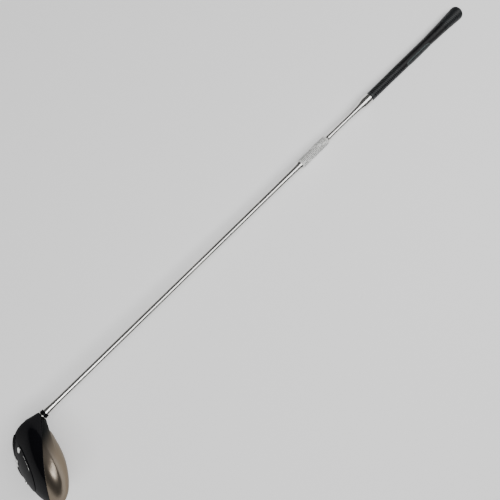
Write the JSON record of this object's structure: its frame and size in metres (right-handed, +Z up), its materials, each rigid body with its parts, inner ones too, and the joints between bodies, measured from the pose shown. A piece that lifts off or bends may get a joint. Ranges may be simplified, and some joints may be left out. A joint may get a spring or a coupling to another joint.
{
  "type": "golf swing trainer",
  "caption": "Driver-style golf swing trainer: rubber grip, slim steel neck under the grip, tapered steel shaft and a full-size metal head.",
  "frame": {"origin": "centre of the butt end, on the shaft's axis, at the mouth of the vent hole", "axes": "+X along the shaft, out of the butt, so the club runs to -X; +Z up from the surface that it lies on; +Y across"},
  "size_m": [1.1711, 0.1265, 0.127],
  "materials": {
    "rubber": "matt moulded rubber",
    "rubber_pad": "smooth satin rubber",
    "tape": "matt adhesive tape",
    "plug_plastic": "matt moulded plastic",
    "polished_steel": "bright plated steel",
    "tube_steel": "drawn steel tube",
    "label_paper": "white satin paper with plain grey rules",
    "brass": "turned brass",
    "gloss_black": "gloss black moulded plastic",
    "trim_ring": "bright trim ring",
    "head_black": "gloss black lacquer on metal",
    "crown_metal": "satin champagne metallic, black towards the heel",
    "face_metal": "brushed heel to toe",
    "screw_steel": "turned steel"
  },
  "bodies": {
    "root": {"grip_sleeve": "rubber", "grip_panel": "rubber_pad", "grip_tape": "tape", "handle_plug": "plug_plastic", "handle_tube": "tube_steel", "collar_seal": "rubber", "grip_collar": "polished_steel", "neck_rod": "polished_steel", "coupling": "polished_steel", "label": "label_paper", "lower_shaft": "polished_steel", "tip_weight": "brass", "ferrule": "gloss_black", "ferrule_ring": "trim_ring", "hosel_tube": "head_black", "head_body": "head_black", "crown": "crown_metal", "face_plate": "face_metal", "sole_plate": "head_black", "sole_weight": "screw_steel", "sole_screws": "screw_steel"}
  },
  "joints": []
}
